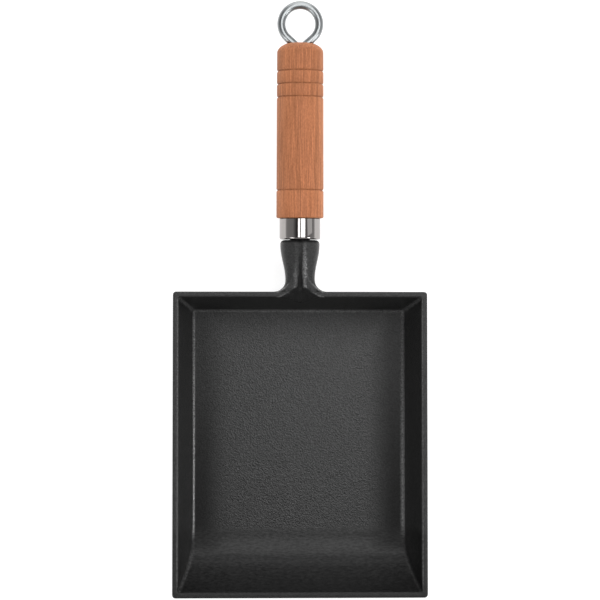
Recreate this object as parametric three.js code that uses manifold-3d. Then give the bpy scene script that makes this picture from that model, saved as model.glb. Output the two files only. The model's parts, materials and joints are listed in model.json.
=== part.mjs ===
// Rectangular cast iron omelette pan with a turned wooden grip and a hanging eye, in millimetres, +Z up.
// The origin is on the flat underside, below the middle of the rim. +Y runs out along the handle.
import * as THREE from "three";
import { mergeVertices } from "three/addons/utils/BufferGeometryUtils.js";
import Module from "manifold-3d";

const wasm = await Module();
wasm.setup();

const radians = THREE.MathUtils.degToRad;

// Pan: sizes over the rim, and its walls. A draft is a lean from upright.
const RIM_WIDTH = 156;
const RIM_LENGTH = 187;
const PAN_HEIGHT = 35;
const FLOOR_THICKNESS = 4;
const WALL_THICKNESS = 3.5;
const SIDE_DRAFT = radians(15.7);
const HANDLE_SIDE_DRAFT = radians(12.1);
const FAR_DRAFT = radians(34);
const FAR_CURVE_RADIUS = 20;
const FLOOR_FILLET = 2;
const BASE_EDGE_RADIUS = 2.6;
const OUTER_CORNER_RADIUS = 2.4;
const INNER_CORNER_RADIUS = 1.2;
const RIM_EDGE_RADIUS = 0.9;

// Neck: it leaves the handle side flush with the rim and swells into a round head under the ferrule.
// Squareness is the power of the curve over its top: 2 is round, and more is flatter.
const HANDLE_RISE = radians(3);
const NECK_LENGTH = 31;
const NECK_WAIST_DIAMETER = 18;
const NECK_HEAD_DIAMETER = 24.2;
const NECK_ROOT_RADIUS = 7.5;
const NECK_SHOULDER_RADIUS = 1.6;
const NECK_SWELL = 7;
const NECK_ROOT_SQUARENESS = 5;
const VALLEY_ROOT_DEPTH = 4.2;
const VALLEY_HEAD_DEPTH = 1.6;
const VALLEY_HALF_WIDTH = 2.2;

// Funnel: the inner wall runs up into the neck between the two lips.
const FUNNEL_HALF_WIDTH = 11;
const FUNNEL_REACH = 7.4;
const FUNNEL_DEPTH = 14;
const FUNNEL_TIP_RADIUS = 1.2;

// Seat and tang: the ferrule stands on the seat, and the tang holds the eye bolt's thread.
const SEAT_DIAMETER = 19;
const SEAT_HEIGHT = 0.8;
const TANG_DIAMETER = 12;
const TANG_LENGTH = 11;
const THREAD_DEPTH = 24;
const THREAD_ENGAGEMENT = 12;

// Ferrule: a drawn cup over the front of the grip.
const FERRULE_DIAMETER = 25.2;
const FERRULE_LENGTH = 12.9;
const FERRULE_WALL = 1;
const FERRULE_EDGE_RADIUS = 1.2;

// Grip: its length and diameters behind the ferrule, and its turned grooves.
const GRIP_LENGTH = 107.6;
const GRIP_FRONT_DIAMETER = 29;
const GRIP_END_DIAMETER = 28.4;
const GRIP_FRONT_CHAMFER = 0.8;
const GRIP_END_CROWN = 6.2;
const GROOVE_WIDTH = 1.3;
const GROOVE_DEPTH = 0.7;
const FRONT_GROOVE_PLACE = 17;
const END_GROOVE_PLACE = 17.6;
const END_GROOVE_PITCH = 8;
const END_GROOVE_COUNT = 3;

// Eye bolt: a rod with a round eye on two leaning legs that meet at a knuckle, and its washer.
const ROD_DIAMETER = 5;
const EYE_RADIUS = 11.6;
const EYE_LEG_LEAN = radians(48);
const EYE_STANDOFF = 11.5;
const KNUCKLE_DIAMETER = 8.4;
const WASHER_DIAMETER = 10.5;
const WASHER_THICKNESS = 1;

// Clearance between separate pieces, and how far a body runs past the face that it cuts or joins.
const FIT = 0.3;
const OVERCUT = 2;

// Facets.
const CORNER_STEPS = 4;
const ROUND_STEPS = 36;
const ARC_STEPS = 4;
const FAR_CURVE_STEPS = 8;
const NECK_POINTS = 36;
const NECK_CURVE_STEPS = 4;
const ROD_ARC_POINTS = 6;
const EYE_STEPS = 44;

const castIron = new THREE.MeshStandardMaterial({ color: 0x2b2b2c, roughness: 0.55, metalness: 0.35 });
const chrome = new THREE.MeshStandardMaterial({ color: 0xd6d6d8, roughness: 0.08, metalness: 1 });
const beech = new THREE.MeshStandardMaterial({ color: 0xb97856, roughness: 0.45, metalness: 0 });
const steel = new THREE.MeshStandardMaterial({ color: 0xa2a2a4, roughness: 0.3, metalness: 1 });

// Places along the handle axis, counted from the end face of the neck.
const ferruleFront = SEAT_HEIGHT + FIT;
const ferruleBack = ferruleFront + FERRULE_LENGTH;
const gripShoulder = ferruleBack + FIT;
const gripEnd = gripShoulder + GRIP_LENGTH;
const eyeCentre = gripEnd + EYE_STANDOFF;
const knuckleCentre = eyeCentre - EYE_RADIUS / Math.sin(EYE_LEG_LEAN);
const rodHoleRadius = ROD_DIAMETER / 2 + FIT;
const knuckleSink = Math.sqrt((KNUCKLE_DIAMETER / 2) ** 2 - rodHoleRadius ** 2);
const washerTop = knuckleCentre - knuckleSink - FIT;
const washerSeat = washerTop - WASHER_THICKNESS - FIT;
const threadTip = TANG_LENGTH - THREAD_ENGAGEMENT;

// The handle axis meets the rim's outer edge half a waist below the rim, so the neck's lips run level into it.
const handle = new THREE.Group();
const axisDrop = NECK_WAIST_DIAMETER / 2;
handle.rotation.x = HANDLE_RISE;
handle.position.set(
  0,
  RIM_LENGTH / 2 + NECK_LENGTH * Math.cos(HANDLE_RISE),
  PAN_HEIGHT - axisDrop + NECK_LENGTH * Math.sin(HANDLE_RISE),
);
handle.updateMatrix();

// A closed body through rings of equal point counts, capped at both ends.
function loft(rings) {
  const count = rings[0].length;
  const points = rings.flat();
  const faces = [];
  for (let ring = 0; ring + 1 < rings.length; ring++) {
    for (let i = 0; i < count; i++) {
      const a = ring * count + i;
      const b = ring * count + ((i + 1) % count);
      faces.push(a, b, b + count, a, b + count, a + count);
    }
  }
  const last = (rings.length - 1) * count;
  for (const [start, turn] of [[0, 0], [last, 1]]) {
    const middle = points.length;
    const ring = points.slice(start, start + count);
    points.push(ring.reduce((sum, p) => sum.add(p), new THREE.Vector3()).divideScalar(count));
    for (let i = 0; i < count; i++) {
      const next = (i + 1) % count;
      faces.push(middle, start + (turn ? i : next), start + (turn ? next : i));
    }
  }
  return new THREE.BufferGeometry().setFromPoints(points).setIndex(faces);
}

function lathe(profile) {
  const points = profile.map(([radius, along]) => new THREE.Vector2(radius, along));
  return new THREE.LatheGeometry(points, ROUND_STEPS);
}

// A solid that can be joined to another or cut by it.
function solidOf(geometry) {
  const bare = geometry.clone();
  bare.deleteAttribute("normal");
  bare.deleteAttribute("uv");
  const merged = mergeVertices(bare);
  const vertProperties = merged.attributes.position.array;
  const triVerts = new Uint32Array(merged.index.array);
  return new wasm.Manifold(new wasm.Mesh({ numProp: 3, vertProperties, triVerts }));
}

function geometryOf(solid) {
  const { vertProperties, triVerts } = solid.getMesh();
  const geometry = new THREE.BufferGeometry();
  geometry.setAttribute("position", new THREE.BufferAttribute(vertProperties, 3));
  geometry.setIndex(new THREE.BufferAttribute(triVerts, 1));
  geometry.computeVertexNormals();
  return geometry;
}

// How far a leaning wall stands inside its top edge, at a height over its foot, with a fillet at the foot.
function wallInset(height, depth, draft, fillet) {
  const filletTop = fillet * (1 - Math.sin(draft));
  if (height >= filletTop) {
    return (depth - height) * Math.tan(draft);
  }
  const filletCentre = (depth - fillet) * Math.tan(draft) + fillet / Math.cos(draft);
  return filletCentre - Math.sqrt(fillet ** 2 - (fillet - height) ** 2);
}

// Heights over the foot that follow a fillet from the floor into a wall of that draft.
function filletHeights(fillet, draft, steps) {
  const sweep = Math.PI / 2 - draft;
  return Array.from({ length: steps + 1 }, (_, i) => fillet * (1 - Math.cos((sweep * i) / steps)));
}

// A level outline with rounded corners, anticlockwise seen from above.
function levelRing(z, side, front, far, radius) {
  const corners = [
    [side, far],
    [side, front],
    [-side, front],
    [-side, far],
  ];
  return corners.flatMap(([x, y], quarter) => {
    const cx = x - Math.sign(x) * radius;
    const cy = y - (y === front ? radius : -radius);
    return Array.from({ length: CORNER_STEPS + 1 }, (_, i) => {
      const angle = (quarter - 1 + i / CORNER_STEPS) * (Math.PI / 2);
      return new THREE.Vector3(cx + radius * Math.cos(angle), cy + radius * Math.sin(angle), z);
    });
  });
}

// The pan's outside, or its inside, as one body: foot is the height of its flat bottom, inset is how far
// its top edge lies inside the rim, and flare is 1 where that edge rounds outwards and -1 where inwards.
function bowl({ foot, inset, fillet, farFillet, corner, flare }) {
  const depth = PAN_HEIGHT - foot;
  const heights = [
    ...filletHeights(fillet, SIDE_DRAFT, ARC_STEPS),
    ...filletHeights(farFillet, FAR_DRAFT, FAR_CURVE_STEPS).filter((height) => height > fillet),
  ];
  const levels = heights.map((height) => [height, 0]);
  for (let i = 0; i <= ARC_STEPS; i++) {
    const turn = (i / ARC_STEPS) * (Math.PI / 2);
    levels.push([depth - RIM_EDGE_RADIUS * (1 - Math.sin(turn)), RIM_EDGE_RADIUS * (1 - Math.cos(turn))]);
  }
  const rings = levels.map(([height, rounding]) => {
    const at = (half, draft, radius) => half - inset - wallInset(height, depth, draft, radius) + flare * rounding;
    return levelRing(
      foot + height,
      at(RIM_WIDTH / 2, SIDE_DRAFT, fillet),
      at(RIM_LENGTH / 2, HANDLE_SIDE_DRAFT, fillet),
      -at(RIM_LENGTH / 2, FAR_DRAFT, farFillet),
      corner,
    );
  });
  if (flare > 0) {
    rings.push(rings.at(-1).map((point) => point.clone().setZ(PAN_HEIGHT + OVERCUT)));
  }
  return loft(rings);
}

// Half widths of the neck along its length from the rim: a root fillet, a swell and a rounded shoulder.
function neckOutline() {
  const waist = NECK_WAIST_DIAMETER / 2;
  const head = NECK_HEAD_DIAMETER / 2;
  const shoulder = NECK_LENGTH - NECK_SHOULDER_RADIUS;
  const outline = new THREE.Path();
  outline.moveTo(waist + NECK_ROOT_RADIUS, 0);
  outline.absarc(waist + NECK_ROOT_RADIUS, NECK_ROOT_RADIUS, NECK_ROOT_RADIUS, -Math.PI / 2, -Math.PI, true);
  outline.bezierCurveTo(waist, NECK_ROOT_RADIUS + NECK_SWELL, head, shoulder - NECK_SWELL, head, shoulder);
  outline.absarc(head - NECK_SHOULDER_RADIUS, shoulder, NECK_SHOULDER_RADIUS, 0, Math.PI / 2, false);
  return outline.getPoints(NECK_CURVE_STEPS);
}

// The neck in the handle's own frame: sections round below and flat on top, rounder towards the head, with a
// valley along the top. Its root flares out and leans with the wall that it stands on.
function neckBody() {
  const waist = NECK_WAIST_DIAMETER / 2;
  const wallLean = Math.tan(HANDLE_SIDE_DRAFT + HANDLE_RISE);
  const stations = [new THREE.Vector2(waist + NECK_ROOT_RADIUS, -WALL_THICKNESS), ...neckOutline()];
  const rings = stations.map(({ x: half, y: along }) => {
    const upper = along < NECK_ROOT_RADIUS ? waist : half;
    const toHead = THREE.MathUtils.clamp(along / NECK_LENGTH, 0, 1);
    const toRoot = 1 - THREE.MathUtils.clamp(along / NECK_ROOT_RADIUS, 0, 1);
    const valley = VALLEY_HEAD_DEPTH + (VALLEY_ROOT_DEPTH - VALLEY_HEAD_DEPTH) * (1 - toHead) ** 2;
    const power = THREE.MathUtils.lerp(NECK_ROOT_SQUARENESS, 2, toHead);
    return Array.from({ length: NECK_POINTS }, (_, i) => {
      const angle = (i / NECK_POINTS) * 2 * Math.PI;
      const across = Math.sin(angle);
      const x = half * across;
      const notch = valley * Math.exp(-((x / VALLEY_HALF_WIDTH) ** 2));
      const over = upper * (1 - Math.abs(across) ** power) ** (1 / power) - notch;
      const z = Math.cos(angle) > 0 ? over : half * Math.cos(angle);
      return new THREE.Vector3(x, along - NECK_LENGTH - toRoot * (waist - z) * wallLean, z);
    });
  });
  return loft(rings);
}

// The cut that carries the inner wall up into the neck, narrowing to a point on that wall.
function funnelCut() {
  const lip = RIM_LENGTH / 2 - WALL_THICKNESS;
  const point = new THREE.Vector3(0, lip - FUNNEL_DEPTH * Math.tan(HANDLE_SIDE_DRAFT), PAN_HEIGHT - FUNNEL_DEPTH);
  const slope = Math.atan2(FUNNEL_REACH, FUNNEL_HALF_WIDTH);
  const tipCentre = lip + FUNNEL_REACH - FUNNEL_TIP_RADIUS / Math.cos(slope);
  const outline = [
    new THREE.Vector3(-FUNNEL_HALF_WIDTH, lip - OVERCUT, PAN_HEIGHT),
    new THREE.Vector3(FUNNEL_HALF_WIDTH, lip - OVERCUT, PAN_HEIGHT),
    new THREE.Vector3(FUNNEL_HALF_WIDTH, lip, PAN_HEIGHT),
  ];
  for (let i = 0; i <= ARC_STEPS; i++) {
    const angle = Math.PI / 2 - slope + (2 * slope * i) / ARC_STEPS;
    const x = FUNNEL_TIP_RADIUS * Math.cos(angle);
    outline.push(new THREE.Vector3(x, tipCentre + FUNNEL_TIP_RADIUS * Math.sin(angle), PAN_HEIGHT));
  }
  outline.push(new THREE.Vector3(-FUNNEL_HALF_WIDTH, lip, PAN_HEIGHT));
  const low = FIT / FUNNEL_DEPTH;
  const high = 1 + OVERCUT / FUNNEL_DEPTH;
  return loft([low, high].map((share) => outline.map((corner) => point.clone().lerp(corner, share))));
}

function panCasting() {
  const outside = bowl({
    foot: 0,
    inset: 0,
    fillet: BASE_EDGE_RADIUS,
    farFillet: FAR_CURVE_RADIUS + FLOOR_THICKNESS,
    corner: OUTER_CORNER_RADIUS,
    flare: -1,
  });
  const inside = bowl({
    foot: FLOOR_THICKNESS,
    inset: WALL_THICKNESS,
    fillet: FLOOR_FILLET,
    farFillet: FAR_CURVE_RADIUS,
    corner: INNER_CORNER_RADIUS,
    flare: 1,
  });
  const tang = lathe([
    [0, -OVERCUT],
    [SEAT_DIAMETER / 2, -OVERCUT],
    [SEAT_DIAMETER / 2, SEAT_HEIGHT],
    [TANG_DIAMETER / 2, SEAT_HEIGHT],
    [TANG_DIAMETER / 2, TANG_LENGTH],
    [0, TANG_LENGTH],
  ]);
  const threadHole = lathe([
    [0, TANG_LENGTH - THREAD_DEPTH],
    [rodHoleRadius, TANG_LENGTH - THREAD_DEPTH],
    [rodHoleRadius, TANG_LENGTH + OVERCUT],
    [0, TANG_LENGTH + OVERCUT],
  ]);
  const onHandle = (geometry) => solidOf(geometry.applyMatrix4(handle.matrix));
  const body = solidOf(outside).add(onHandle(neckBody())).subtract(solidOf(inside));
  const hollowed = body.subtract(solidOf(funnelCut()));
  return geometryOf(hollowed.add(onHandle(tang)).subtract(onHandle(threadHole)));
}

function ferrule() {
  const outer = FERRULE_DIAMETER / 2;
  const hole = TANG_DIAMETER / 2 + FIT;
  const profile = [[hole, ferruleFront]];
  for (let i = 0; i <= ARC_STEPS; i++) {
    const turn = (i / ARC_STEPS) * (Math.PI / 2);
    profile.push([
      outer - FERRULE_EDGE_RADIUS * (1 - Math.sin(turn)),
      ferruleFront + FERRULE_EDGE_RADIUS * (1 - Math.cos(turn)),
    ]);
  }
  profile.push(
    [outer, ferruleBack],
    [outer - FERRULE_WALL, ferruleBack],
    [outer - FERRULE_WALL, ferruleFront + FERRULE_WALL],
    [hole, ferruleFront + FERRULE_WALL],
    [hole, ferruleFront],
  );
  return lathe(profile);
}

function gripRadius(along) {
  const toEnd = (along - gripShoulder) / GRIP_LENGTH;
  return THREE.MathUtils.lerp(GRIP_FRONT_DIAMETER, GRIP_END_DIAMETER, toEnd) / 2;
}

function groove(along) {
  return [
    [gripRadius(along - GROOVE_WIDTH / 2), along - GROOVE_WIDTH / 2],
    [gripRadius(along) - GROOVE_DEPTH, along],
    [gripRadius(along + GROOVE_WIDTH / 2), along + GROOVE_WIDTH / 2],
  ];
}

// The grip is bored right through, with a socket for the tang and a recess that clears the turning eye.
function woodenGrip() {
  const socket = TANG_DIAMETER / 2 + FIT;
  const socketBottom = TANG_LENGTH + FIT;
  const spigot = FERRULE_DIAMETER / 2 - FERRULE_WALL - FIT;
  const spigotFront = ferruleFront + FERRULE_WALL + FIT;
  const recess = WASHER_DIAMETER / 2 + FIT;
  const legHalf = ROD_DIAMETER / 2 / Math.cos(EYE_LEG_LEAN) + FIT;
  const legSpread = Math.tan(EYE_LEG_LEAN);
  const endRadius = GRIP_END_DIAMETER / 2;
  const endHeight = (turn) => gripEnd - GRIP_END_CROWN * (1 - Math.sin(turn));
  const recessEdge = endHeight(Math.acos(recess / endRadius));
  const mouth = Math.max(recess, legHalf + (recessEdge - knuckleCentre) * legSpread);
  const recessTop = knuckleCentre + Math.max(0, (recess - legHalf) / legSpread);
  const endSweep = Math.acos(mouth / endRadius);
  const profile = [
    [socket, spigotFront],
    [spigot, spigotFront],
    [spigot, gripShoulder],
    [GRIP_FRONT_DIAMETER / 2 - GRIP_FRONT_CHAMFER, gripShoulder],
    [gripRadius(gripShoulder + GRIP_FRONT_CHAMFER), gripShoulder + GRIP_FRONT_CHAMFER],
    ...groove(gripShoulder + FRONT_GROOVE_PLACE),
  ];
  for (let i = END_GROOVE_COUNT - 1; i >= 0; i--) {
    profile.push(...groove(gripEnd - END_GROOVE_PLACE - i * END_GROOVE_PITCH));
  }
  for (let i = 0; i <= FAR_CURVE_STEPS; i++) {
    const turn = (endSweep * i) / FAR_CURVE_STEPS;
    profile.push([endRadius * Math.cos(turn), endHeight(turn)]);
  }
  profile.push(
    [recess, recessTop],
    [recess, washerSeat],
    [rodHoleRadius, washerSeat],
    [rodHoleRadius, socketBottom],
    [socket, socketBottom],
    [socket, spigotFront],
  );
  return lathe(profile);
}

function seatWasher() {
  return lathe([
    [rodHoleRadius, washerTop - WASHER_THICKNESS],
    [WASHER_DIAMETER / 2, washerTop - WASHER_THICKNESS],
    [WASHER_DIAMETER / 2, washerTop],
    [rodHoleRadius, washerTop],
    [rodHoleRadius, washerTop - WASHER_THICKNESS],
  ]);
}

// The eye's centre line: up one leg, round the eye and down the other leg, at a steady pace.
class EyeLine extends THREE.Curve {
  constructor(legStart) {
    super();
    this.legLength = EYE_RADIUS / Math.tan(EYE_LEG_LEAN) - legStart;
    this.legStart = legStart;
    this.arcSweep = Math.PI + 2 * EYE_LEG_LEAN;
    this.total = 2 * this.legLength + EYE_RADIUS * this.arcSweep;
  }

  legPoint(side, run) {
    const along = knuckleCentre + run * Math.cos(EYE_LEG_LEAN);
    return new THREE.Vector3(side * run * Math.sin(EYE_LEG_LEAN), along, 0);
  }

  getPoint(share) {
    const run = share * this.total;
    const arcRun = run - this.legLength;
    const arcLength = EYE_RADIUS * this.arcSweep;
    if (arcRun < 0) {
      return this.legPoint(1, this.legStart + run);
    }
    if (arcRun > arcLength) {
      return this.legPoint(-1, this.legStart + this.total - run);
    }
    const angle = arcRun / EYE_RADIUS - EYE_LEG_LEAN;
    return new THREE.Vector3(EYE_RADIUS * Math.cos(angle), eyeCentre + EYE_RADIUS * Math.sin(angle), 0);
  }
}

function eyeBolt() {
  const rod = ROD_DIAMETER / 2;
  const section = new THREE.Shape().absarc(0, 0, rod, 0, 2 * Math.PI, false);
  // The legs start just clear of each other, inside the knuckle that joins them.
  const legStart = rod / Math.tan(EYE_LEG_LEAN) + FIT / 2;
  const eye = new THREE.ExtrudeGeometry(section, {
    extrudePath: new EyeLine(legStart),
    steps: EYE_STEPS,
    curveSegments: ROD_ARC_POINTS,
    bevelEnabled: false,
  });
  const shank = lathe([
    [0, threadTip],
    [rod, threadTip],
    [rod, knuckleCentre],
    [0, knuckleCentre],
  ]);
  const knuckle = new THREE.SphereGeometry(KNUCKLE_DIAMETER / 2, ROUND_STEPS / 2, ROUND_STEPS / 3);
  knuckle.translate(0, knuckleCentre, 0);
  return geometryOf(solidOf(shank).add(solidOf(knuckle)).add(solidOf(eye)));
}

function named(name, geometry, material) {
  const mesh = new THREE.Mesh(geometry, material);
  mesh.name = name;
  return mesh;
}

handle.add(
  named("ferrule", ferrule(), chrome),
  named("wooden_grip", woodenGrip(), beech),
  named("seat_washer", seatWasher(), steel),
  named("eye_bolt", eyeBolt(), chrome),
);

const pan = new THREE.Group();
pan.add(named("pan_casting", panCasting(), castIron), handle);

export default pan;
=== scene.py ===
import json
import math

import bmesh
import bpy
import numpy as np
import openvdb
from mathutils import Matrix, Vector


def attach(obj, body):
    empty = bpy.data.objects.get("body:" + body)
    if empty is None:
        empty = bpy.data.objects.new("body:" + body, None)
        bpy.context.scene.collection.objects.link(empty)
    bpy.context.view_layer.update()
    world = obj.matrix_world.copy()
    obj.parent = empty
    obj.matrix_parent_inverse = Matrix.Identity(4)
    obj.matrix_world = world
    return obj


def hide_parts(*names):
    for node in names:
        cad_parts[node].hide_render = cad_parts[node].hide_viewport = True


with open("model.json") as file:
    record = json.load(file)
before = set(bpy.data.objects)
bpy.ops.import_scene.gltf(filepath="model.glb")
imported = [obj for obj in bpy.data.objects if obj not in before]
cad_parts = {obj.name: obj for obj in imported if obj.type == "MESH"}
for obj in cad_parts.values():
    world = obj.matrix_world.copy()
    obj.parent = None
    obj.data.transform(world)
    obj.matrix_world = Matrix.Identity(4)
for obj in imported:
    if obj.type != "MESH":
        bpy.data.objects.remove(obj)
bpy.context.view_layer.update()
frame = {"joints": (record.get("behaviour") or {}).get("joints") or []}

# Sizes are in millimetres, and meshes are scaled to metres when they are made.
MM = 0.001

# Pan: a draft is a lean from upright, and a cosine is between the outward normals of two faces that meet.
RIM_WIDTH = 156
RIM_LENGTH = 187
PAN_HEIGHT = 35
FLOOR_THICKNESS = 4
WALL_THICKNESS = 3.5
RIM_INSIDE = RIM_LENGTH / 2 - WALL_THICKNESS
SIDE_DRAFT = math.radians(15.7)
HANDLE_SIDE_DRAFT = math.radians(12.1)
FAR_DRAFT = math.radians(32)
FAR_SWEEP_RADIUS = 155
FAR_CURVE_RADIUS = 18
FLOOR_FILLET = 2
BASE_EDGE_RADIUS = 2.6
RIM_EDGE_RADIUS = 0.9
WALL_CORNER_COSINE = 0.2
RIM_COSINE = 0.28

# Neck, with places along it counted from the rim
NECK_LENGTH = 31
NECK_WAIST_RADIUS = 9
NECK_HEAD_RADIUS = 12.1
NECK_WAIST_END = 8
NECK_SWELL_END = 28.5
NECK_ROOT_RADIUS = 7.5
NECK_SHOULDER_RADIUS = 2.6
NECK_ROOT_LIFT = 6
NECK_LIFT_END = 27
NECK_TOP_SLOPE = 0.17
NECK_HEADROOM = 6
NECK_EDGE_RADIUS = 2.2
NECK_CROWN_RADIUS = 12
NECK_CROWN_START = 1
NECK_CROWN_END = 14
VALLEY_ROOT_DEPTH = 4.2
VALLEY_HEAD_DEPTH = 1.6
VALLEY_HALF_WIDTH = 1.5
VALLEY_FOOT_RADIUS = 0.5
VALLEY_POWER = 1.5
FUNNEL_HALF_WIDTH = 11
FUNNEL_REACH = 7.4
FUNNEL_DEPTH = 14
FUNNEL_TIP_RADIUS = 1.2
FUNNEL_LIP_RADIUS = 1.3
FUNNEL_LIP_COSINE = 0.5
SEAT_HEIGHT = 0.8
TANG_RADIUS = 6
TANG_LENGTH = 11
THREAD_DEPTH = 24
THREAD_ENGAGEMENT = 12

# Clearance between separate pieces
FIT = 0.3

# Ferrule and grip, with places counted along the handle's axis from the end face of the neck
FERRULE_LENGTH = 12.9
FERRULE_RADIUS = 12.6
FERRULE_WALL = 1
FERRULE_EDGE_RADIUS = 1.2
FERRULE_LIP_RADIUS = 0.35
FERRULE_FRONT = SEAT_HEIGHT + FIT
FERRULE_BACK = FERRULE_FRONT + FERRULE_LENGTH
GRIP_LENGTH = 108.3
GRIP_FRONT_RADIUS = 14.5
GRIP_END_RADIUS = 14.2
GRIP_END_CROWN = 6.9
GRIP_FRONT_ROUNDING = 0.8
GRIP_SHOULDER = FERRULE_BACK + FIT
GRIP_END = GRIP_SHOULDER + GRIP_LENGTH
SPIGOT_RADIUS = FERRULE_RADIUS - FERRULE_WALL - FIT
SPIGOT_FRONT = FERRULE_FRONT + FERRULE_WALL + FIT
SOCKET_RADIUS = TANG_RADIUS + FIT
SOCKET_BOTTOM = TANG_LENGTH + FIT
FRONT_GROOVE_SETBACK = 17
END_GROOVE_SETBACK = 18.3
END_GROOVE_PITCH = 8
END_GROOVE_COUNT = 3
GROOVE_WIDTH = 1.7
GROOVE_DEPTH = 0.7
GROOVE_POWER = 1.2
GROOVE_FLARE = 0.2

# Eye bolt, its washer and the recess that they sit in, with places counted in the same way
ROD_RADIUS = 2.5
ROD_TIP = TANG_LENGTH - THREAD_ENGAGEMENT
ROD_TIP_CHAMFER = 0.6
BORE_RADIUS = ROD_RADIUS + FIT
EYE_RADIUS = 11.6
EYE_LEG_LEAN = math.radians(48)
EYE_STANDOFF = 10.8
EYE_CENTRE = GRIP_END + EYE_STANDOFF
KNUCKLE_RADIUS = 4.2
KNUCKLE_PLACE = EYE_CENTRE - EYE_RADIUS / math.sin(EYE_LEG_LEAN)
KNUCKLE_SINK = math.sqrt(KNUCKLE_RADIUS**2 - BORE_RADIUS**2)
WASHER_RADIUS = 5.25
WASHER_THICKNESS = 1
WASHER_EDGE = 0.15
WASHER_TOP = KNUCKLE_PLACE - KNUCKLE_SINK - FIT
WASHER_BOTTOM = WASHER_TOP - WASHER_THICKNESS
WASHER_SEAT = WASHER_BOTTOM - FIT
LEG_CLEARANCE = ROD_RADIUS / math.cos(EYE_LEG_LEAN) + FIT
RECESS_RADIUS = WASHER_RADIUS + FIT
RECESS_TOP = KNUCKLE_PLACE + (RECESS_RADIUS - LEG_CLEARANCE) / math.tan(EYE_LEG_LEAN)
RECESS_MOUTH_RADIUS = 8.05

# How fine the meshes are
VOXEL = 0.5
VOXEL_MERGE = 0.02
FIELD_MARGIN = 3 * VOXEL
ROUND_STEPS = 96
ARC_STEPS = 8
FERRULE_LIP_STEPS = 4
GROOVE_STEPS = 10
GRIP_END_STEPS = 20
KNUCKLE_STEPS = 24
ROD_SIDES = 32
EYE_STEPS = 120
EYE_LEG_STEPS = 9
SHARP_ANGLE = math.radians(38)
MERGE_METRES = 1e-7
LEAST_SLOPE = 1e-9

# Polish with painted highlights, and painted shade, on the iron: 1 is bright and -1 is black. A pair says
# where a change starts and ends.
POLISH_AND_PAINTED_LIGHT = "polish_and_painted_light"
LIP_BEND = (0.5, 0.9)
FILLET_BEND = (0.12, 0.4)
VALLEY_LIP_BEND = (0.12, 0.6)
VALLEY_LIP_REACH = 4
LEFT_LIP_POLISH_AND_HIGHLIGHT = 0.42
RIGHT_LIP_POLISH_AND_HIGHLIGHT = 0.75
RIGHT_LIP_FADE = (104, 138)
NOTCH_POLISH_AND_HIGHLIGHT = 0.85
NOTCH_FADE = (97, 118)
POINT_WIDTH = (1.5, 2.6)
POINT_REACH = (95, 98.5)
NOTCH_SHADE_FADE = (94, 136)
RIM_POLISH_AND_HIGHLIGHT = 0.5
RIM_END_MARGIN = 1
HANDLE_SIDE_POLISH_AND_HIGHLIGHT = 0.35
FLOOR_EDGE_INSET = 11
RIGHT_SIDE_POLISH_AND_HIGHLIGHT = 0.55
FILLET_FADE = 0.45
FILLET_FADE_RANGE = (-20, 75)
FAR_END_POLISH_AND_HIGHLIGHT = 0.1
FAR_END_FADE = (48, 63)
LEFT_WALL_PAINTED_LIGHT = 0.16
LEFT_WALL_FADE = (-20, 130)
LEFT_WALL_FOOT = (5, 9)
FAR_RIM_SHADE = 0.3
FAR_RIM_HEIGHT = (33.6, 34.6)
FAR_RIM_REACH = (80, 90)
HEAD_SHADOW = (-1.6, 0.2)

# How deep in the grip's grooves each point lies, from 0 to 1; the grooves are darkened by this much
GROOVE_DARKENING = "groove_darkening"

# The handle's axis is the one that the eye bolt turns about.
TURN_JOINT = next(j for j in frame["joints"] if j["name"] == "eye_bolt_turn")
HANDLE_AXIS = Vector(TURN_JOINT["axis"]).normalized()
HANDLE_RISE = math.atan2(HANDLE_AXIS.z, HANDLE_AXIS.y)
HANDLE_ORIGIN = Vector(TURN_JOINT["pos_m"]) / MM - HANDLE_AXIS * KNUCKLE_PLACE
HANDLE_MATRIX = Matrix.Translation(HANDLE_ORIGIN) @ Matrix.Rotation(HANDLE_RISE, 4, "X")


# Helpers for meshes
def add_object(name, data):
    """A new object in the scene."""
    made = bpy.data.objects.new(name, data)
    bpy.context.scene.collection.objects.link(made)
    return made


def mesh_from(name, points, faces):
    """A smooth mesh in metres from points in millimetres, with its hard edges kept."""
    mesh = bpy.data.meshes.new(name)
    mesh.from_pydata([tuple(p) for p in points], [], faces)
    mesh.transform(Matrix.Scale(MM, 4))
    finish_mesh(mesh)
    return mesh


def finish_mesh(mesh):
    """Joins points that coincide, turns faces outward, and shades smooth between hard edges."""
    work = bmesh.new()
    work.from_mesh(mesh)
    bmesh.ops.remove_doubles(work, verts=work.verts, dist=MERGE_METRES)
    bmesh.ops.dissolve_degenerate(work, edges=work.edges, dist=MERGE_METRES)
    bmesh.ops.recalc_face_normals(work, faces=work.faces)
    work.to_mesh(mesh)
    work.free()
    mesh.shade_smooth()
    mesh.set_sharp_from_angle(angle=SHARP_ANGLE)


def mark_points(mesh, name, values):
    """Keeps one number for each point of a mesh, for its material to read."""
    marks = mesh.attributes.new(name, "FLOAT", "POINT")
    marks.data.foreach_set("value", values.astype(np.float32))


def arc(centre, radius, start, end, steps=ARC_STEPS):
    """Profile points of an arc, as (radius from the axis, place along it), with angles in degrees."""
    turns = np.linspace(math.radians(start), math.radians(end), steps + 1)
    return [(centre[0] + radius * math.cos(t), centre[1] + radius * math.sin(t)) for t in turns]


def lathe(name, profile):
    """A closed profile turned about the handle's axis. It may have two points on the axis."""
    points, faces = [], []
    count = len(profile)
    for step in range(ROUND_STEPS):
        turn = 2 * math.pi * step / ROUND_STEPS
        for radius, along in profile:
            local = Vector((radius * math.cos(turn), along, radius * math.sin(turn)))
            points.append(HANDLE_MATRIX @ local)
    for step in range(ROUND_STEPS):
        here, there = step * count, (step + 1) % ROUND_STEPS * count
        for i in range(count):
            k = (i + 1) % count
            if profile[i][0] or profile[k][0]:
                faces.append((here + i, here + k, there + k, there + i))
    return mesh_from(name, points, faces)


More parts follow.
